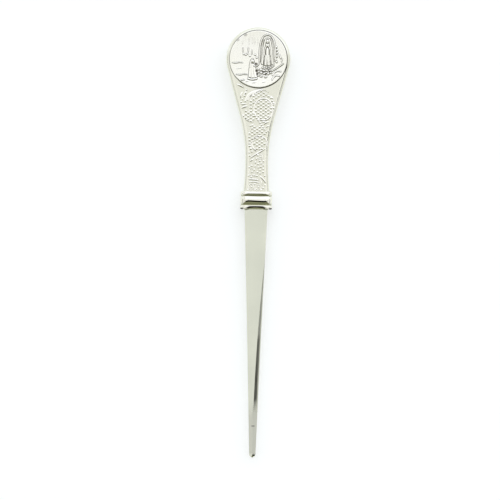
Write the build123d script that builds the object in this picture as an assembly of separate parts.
from build123d import *
import os
from math import asin, atan2, cos, hypot, radians, sin, tan

# Letter opener with a hollow struck handle, a beaded ferrule, a tapered blade and a round medallion.
# It lies on its back: +Y runs from the blade's tip to the head, +Z rises out of the decorated face,
# and the origin is under the middle of its length, on the surface that it lies on. Millimetres.

# Medallion and its seat in the front of the head
MEDAL_RADIUS = 12.2
MEDAL_THICKNESS = 1.6
MEDAL_EDGE_ROUND = 0.3
MEDAL_RIM_WIDTH = 0.5
MEDAL_DISH = 0.35  # depth of the field's middle below the rim
SEAT_DEPTH = 0.6
SEAT_CLEARANCE = 0.25
ADHESIVE_THICKNESS = 0.1

# Handle outline, seen from above
HEAD_MARGIN = 1.25  # the head stands out round the medallion's seat by this
HANDLE_LENGTH = 69.7  # ferrule to the top of the head
WAIST_WIDTH = 9.9
WAIST_HEIGHT = 12.5  # waist above the ferrule
WAIST_BEND = 9.8  # the straight sides, carried on, would close to the waist's width this far above it
NECK_FLARE = 0.65  # each side of the neck spreads by this from the waist to the ferrule

# Handle depth, seen from the side
HEAD_THICKNESS = 6.5
NECK_THICKNESS = 4.0
TAPER_DROP = 2.3  # the handle starts to thin this far below the medallion
TAPER_BEND = 200.0  # radius of the bend where it starts to thin
EDGE_ROUND = 1.8
SHELL_WALL = 0.6
SEAM_BREAK = 0.12  # broken edge along the seam of the two halves

# Ferrule
UPPER_BEAD = 2.05
MIDDLE_BEAD = 3.75
LOWER_BEAD = 1.85
GROOVE_DEPTH = 0.55
SIDE_FILL = 0.3  # the grooves are shallower by this at the sides
LOWER_CREST = 0.6  # the lower bead rises to its crest in this, and falls gently after it
LOWER_FALL = 0.17
LOWER_EDGE_ROUND = 0.2
FERRULE_WALL = 1.2  # socket to the crest of the beads
SOCKET_DEPTH = 4.2
SOCKET_CLEARANCE = 0.05

# Blade and tang
BLADE_LENGTH = 105.5
BLADE_THICKNESS = 1.8
ROOT_WIDTH = 9.8
TIP_WIDTH = 2.75
EDGE_HOLLOW = 0.1  # the edges bow in by this from a straight taper
BEVEL_DROP = 20.5  # the bevels start on the edges, this far below the root
BEVEL_ANGLE = 22.0
FLAT_HOLLOW = 0.72  # the borders of the flat bow in by this
RIDGE_LENGTH = 13.5  # from the point of the flat, along a ridge, to the tip
TIP_FACET = 1.7  # a facet off the end of each ridge would meet the flat's plane this far from the tip
TIP_FACET_ANGLE = 10.0
TANG_WIDTH = 6.0
TANG_END_WIDTH = 3.6
TANG_LENGTH = 42.0
SLOT_CLEARANCE = 0.05

# Stations along the opener, and sizes that follow from the ones above
BEADS = (UPPER_BEAD, MIDDLE_BEAD, LOWER_BEAD)
FERRULE_LENGTH = sum(BEADS)
LENGTH = BLADE_LENGTH + FERRULE_LENGTH + HANDLE_LENGTH
TIP_Y = -LENGTH / 2
ROOT_Y = TIP_Y + BLADE_LENGTH
FERRULE_TOP_Y = ROOT_Y + FERRULE_LENGTH
SOCKET_Y = FERRULE_TOP_Y - SOCKET_DEPTH
WAIST_Y = FERRULE_TOP_Y + WAIST_HEIGHT
HEAD_RADIUS = MEDAL_RADIUS + SEAT_CLEARANCE + HEAD_MARGIN
HEAD_Y = LENGTH / 2 - HEAD_RADIUS
NECK_WIDTH = WAIST_WIDTH + 2 * NECK_FLARE
FERRULE_SPREAD = SOCKET_CLEARANCE + FERRULE_WALL
FERRULE_THICKNESS = NECK_THICKNESS + 2 * FERRULE_SPREAD

# Heights: the seam is the middle plane, and the head or the ferrule touches the surface below
SEAM_Z = max(HEAD_THICKNESS, FERRULE_THICKNESS) / 2
FACE_Z = SEAM_Z + HEAD_THICKNESS / 2
SEAT_Z = FACE_Z - SEAT_DEPTH
MEDAL_Z = SEAT_Z + ADHESIVE_THICKNESS

SEAM = Plane.XY.offset(SEAM_Z)
ACROSS = 2 * HEAD_RADIUS  # far enough to cut right across the opener
NEAR = 0.01


def mirrored_left(shape):
    """The same shape on the other side of the long axis."""
    return mirror(shape, about=Plane.YZ)


def mirrored_back(shape):
    """The same shape on the other side of the seam."""
    return mirror(shape, about=SEAM)


def shoulder_lean():
    """Angle of the straight sides, which touch the head's circle and point at the waist's width."""
    half = WAIST_WIDTH / 2
    drop = HEAD_Y - WAIST_Y - WAIST_BEND
    return asin(HEAD_RADIUS / hypot(half, drop)) - atan2(half, drop)


def handle_outline(inset):
    """Plan of the handle, drawn in by inset: round head, straight shoulders, waist and flared neck."""
    lean = shoulder_lean()
    head = HEAD_RADIUS - inset
    waist = WAIST_WIDTH / 2 - inset
    across = head * cos(lean)
    down = head * sin(lean)
    shoulder = Vector(across, HEAD_Y - down)
    corner_y = HEAD_Y - (head / cos(lean) - waist) / tan(lean)
    run = corner_y - WAIST_Y
    bend = Vector(waist + run * sin(lean), corner_y + run * cos(lean))
    waist_point = Vector(waist, WAIST_Y)
    neck = Vector(waist + NECK_FLARE, FERRULE_TOP_Y)
    side = [
        ThreePointArc((0, HEAD_Y + head), (across, HEAD_Y + down), shoulder),
        Line(shoulder, bend),
        TangentArc(bend, waist_point, tangent=bend - shoulder),
        TangentArc(waist_point, neck, tangent=(0, -1)),
    ]
    bottom = Line(neck, (-neck.X, neck.Y))
    return make_face([*side, bottom, *[mirrored_left(edge) for edge in side]])


def depth_profile(inset):
    """Side view of the front half: a flat head, then a straight taper down to a thinner neck."""
    head_z = SEAM_Z + HEAD_THICKNESS / 2 - inset
    neck = Vector(0, FERRULE_TOP_Y, SEAM_Z + NECK_THICKNESS / 2 - inset)
    bend = Vector(0, HEAD_Y - MEDAL_RADIUS - TAPER_DROP, head_z)
    top = Vector(0, HEAD_Y + HEAD_RADIUS, head_z)
    face = FilletPolyline(neck, bend, top, radius=TAPER_BEND)
    seam = Polyline(top, (0, top.Y, SEAM_Z), (0, neck.Y, SEAM_Z), neck)
    return make_face([face, seam])


def runs_across(edge):
    """True for a straight edge from side to side of the handle."""
    return edge.geom_type == GeomType.LINE and abs(edge.tangent_at(0.5).X) > 1 - NEAR


def front_half(inset):
    """Front half of the handle as a solid, drawn in by inset, with rounded sides and a spigot."""
    plan = extrude(SEAM * handle_outline(inset), HEAD_THICKNESS)
    half = plan & extrude(depth_profile(inset), ACROSS, both=True)
    rim = [e for e in half.edges() if abs(e.tangent_at(0.5).Z) < 0.5 and not runs_across(e)]
    half = fillet([e for e in rim if e.center().Z > SEAM_Z + NEAR], EDGE_ROUND - inset)
    if inset == 0:
        low_edges = [e for e in half.edges() if abs(e.center().Z - SEAM_Z) < NEAR]
        half = chamfer([e for e in low_edges if not runs_across(e)], SEAM_BREAK)
    neck_end = half.faces().sort_by(Axis.Y)[0]
    return half + extrude(neck_end, SOCKET_DEPTH)


def medal_seat(spread, below):
    """Round pocket in the front of the head, wider than the medallion by spread and cut below its seat."""
    depth = SEAT_DEPTH + below
    pocket = Cylinder(MEDAL_RADIUS + spread, depth, align=(Align.CENTER, Align.CENTER, Align.MAX))
    return Pos(0, HEAD_Y, FACE_Z) * pocket


def handle_cavities():
    """Hollows of the front and back halves. The front one leaves a wall round the medallion's seat."""
    hollow = front_half(SHELL_WALL)
    return hollow - medal_seat(SEAT_CLEARANCE + SHELL_WALL, SHELL_WALL), mirrored_back(hollow)


def tang(clearance):
    """Tang from the blade's root into the handle: straight through the ferrule, then tapered."""
    wide = TANG_WIDTH / 2 + clearance
    narrow = TANG_END_WIDTH / 2 + clearance
    end_y = ROOT_Y + TANG_LENGTH + clearance
    side = [(wide, ROOT_Y), (wide, SOCKET_Y), (narrow, end_y)]
    other_side = [(-x, y) for x, y in reversed(side)]
    plan = make_face(Polyline(*side, *other_side, close=True))
    return extrude(SEAM * plan, BLADE_THICKNESS / 2 + clearance, both=True)


def bowed(start, end, hollow):
    """Edge from start to end that bows towards the long axis by hollow at its middle."""
    return ThreePointArc(start, (start + end) / 2 - Vector(hollow, 0), end)


def bevel_cut(edge):
    """What is ground off an edge of one face: all outside the flat's border, at the bevel angle."""
    start = edge @ (BEVEL_DROP / edge.length)
    point = Vector(0, TIP_Y + RIDGE_LENGTH)
    border = bowed(start, point, FLAT_HOLLOW)
    past_tip = point + (border % 1) * (2 * RIDGE_LENGTH)
    far_side = [(ACROSS, past_tip.Y), (ACROSS, start.Y)]
    outside = make_face([border, Polyline(point, past_tip, *far_side, start)])
    angle = radians(BEVEL_ANGLE)
    fall = (cos(angle), 0, -sin(angle))
    face = Pos(0, 0, SEAM_Z + BLADE_THICKNESS / 2) * outside
    return extrude(face, BLADE_THICKNESS / sin(angle), dir=fall)


def tip_cut():
    """What is ground off the end of the ridge of one face."""
    over = Box(ACROSS, ACROSS, ACROSS, align=(Align.CENTER, Align.MAX, Align.MIN))
    return Pos(0, TIP_Y + TIP_FACET, SEAM_Z + BLADE_THICKNESS / 2) * Rot(X=TIP_FACET_ANGLE) * over


def blade():
    """Tapered blade with a round tip and a tang. The bevels of each face meet in a ridge near the tip."""
    tip = TIP_WIDTH / 2
    root = Vector(ROOT_WIDTH / 2, ROOT_Y)
    edge = bowed(root, Vector(tip, TIP_Y + tip), EDGE_HOLLOW)
    nose = ThreePointArc((tip, TIP_Y + tip), (0, TIP_Y), (-tip, TIP_Y + tip))
    plan = make_face([edge, nose, mirrored_left(edge), Line((-root.X, root.Y), root)])
    blank = extrude(SEAM * plan, BLADE_THICKNESS / 2, both=True)
    right = bevel_cut(edge)
    front_cuts = [right, mirrored_left(right), tip_cut()]
    back_cuts = [mirrored_back(cut) for cut in front_cuts]
    return blank - [*front_cuts, *back_cuts] + tang(0)


def ferrule():
    """Collar on the neck: two round beads and a flatter one, a socket and a slot for the tang inside."""
    base = FERRULE_SPREAD - GROOVE_DEPTH  # neck to the bottom of the grooves
    half_x = NECK_WIDTH / 2 + base
    half_z = NECK_THICKNESS / 2 + base
    corner = EDGE_ROUND + base
    top = Plane(origin=(0, FERRULE_TOP_Y, SEAM_Z), x_dir=(1, 0, 0), z_dir=(0, -1, 0))

    # Section of the beads at the right-hand side, carried over the front to the other side
    crests = []
    first = Vector(half_x, FERRULE_TOP_Y, SEAM_Z)
    start = first
    for length in (UPPER_BEAD, MIDDLE_BEAD):
        end = start - Vector(0, length)
        crests.append(ThreePointArc(start, (start + end) / 2 + Vector(GROOVE_DEPTH, 0), end))
        start = end
    crest = start + Vector(GROOVE_DEPTH, -LOWER_CREST)
    edge = Vector(crest.X - LOWER_FALL, ROOT_Y + LOWER_EDGE_ROUND, SEAM_Z)
    foot = edge - Vector(LOWER_EDGE_ROUND, LOWER_EDGE_ROUND)
    fall = TangentArc(crest, edge, tangent=(0, -1))
    crests += [TangentArc(crest, start, tangent=(0, 1)), fall, TangentArc(edge, foot, tangent=fall % 1)]
    sunk = first - Vector(base / 2, 0)
    section = make_face([*crests, Polyline(foot, (sunk.X, ROOT_Y, SEAM_Z), sunk, first)])
    over = FilletPolyline((half_x, 0), (half_x, half_z), (-half_x, half_z), (-half_x, 0), radius=corner)
    front_beads = sweep(section, path=top * over)

    inset = base / 4  # the core's surface lies inside the ring of beads
    core = RectangleRounded(2 * (half_x - inset), 2 * (half_z - inset), corner - inset)
    sides = RectangleRounded(2 * (half_x + SIDE_FILL), 2 * (half_z - inset), corner - inset)
    gap = 2 * SOCKET_CLEARANCE
    socket = RectangleRounded(NECK_WIDTH + gap, NECK_THICKNESS + gap, EDGE_ROUND + SOCKET_CLEARANCE)
    body = extrude(top * core, FERRULE_LENGTH) + extrude(top * sides, FERRULE_LENGTH - LOWER_BEAD)
    solid = body + front_beads + mirrored_back(front_beads)
    return solid - extrude(top * socket, SOCKET_DEPTH) - tang(SLOT_CLEARANCE)


def medallion():
    """Struck disc with a rounded edge, and a narrow rim round a dished field."""
    blank = Cylinder(MEDAL_RADIUS, MEDAL_THICKNESS, align=(Align.CENTER, Align.CENTER, Align.MIN))
    blank = fillet(blank.edges().sort_by(Axis.Z)[-1], MEDAL_EDGE_ROUND)
    field_radius = MEDAL_RADIUS - MEDAL_RIM_WIDTH
    dish_radius = (field_radius**2 + MEDAL_DISH**2) / (2 * MEDAL_DISH)
    dish = Pos(0, 0, MEDAL_THICKNESS - MEDAL_DISH + dish_radius) * Sphere(dish_radius)
    return Pos(0, HEAD_Y, MEDAL_Z) * (blank - dish)


def medallion_adhesive():
    """Film that holds the medallion on the floor of its seat, squeezed out a little round it."""
    spread = SEAT_CLEARANCE / 2
    film = Cylinder(MEDAL_RADIUS + spread, ADHESIVE_THICKNESS, align=(Align.CENTER, Align.CENTER, Align.MIN))
    return Pos(0, HEAD_Y, SEAT_Z) * film


def build():
    """Every piece of the opener, by name."""
    half = front_half(0)
    front_cavity, back_cavity = handle_cavities()
    return {
        "blade": blade(),
        "ferrule": ferrule(),
        "handle_front_shell": half - medal_seat(SEAT_CLEARANCE, 0) - front_cavity,
        "handle_back_shell": mirrored_back(half) - back_cavity,
        "handle_filler": front_cavity + back_cavity - tang(0),
        "medallion": medallion(),
        "medallion_adhesive": medallion_adhesive(),
    }


os.makedirs("parts", exist_ok=True)
for name, shape in build().items():
    export_step(shape, f"parts/{name}.step")
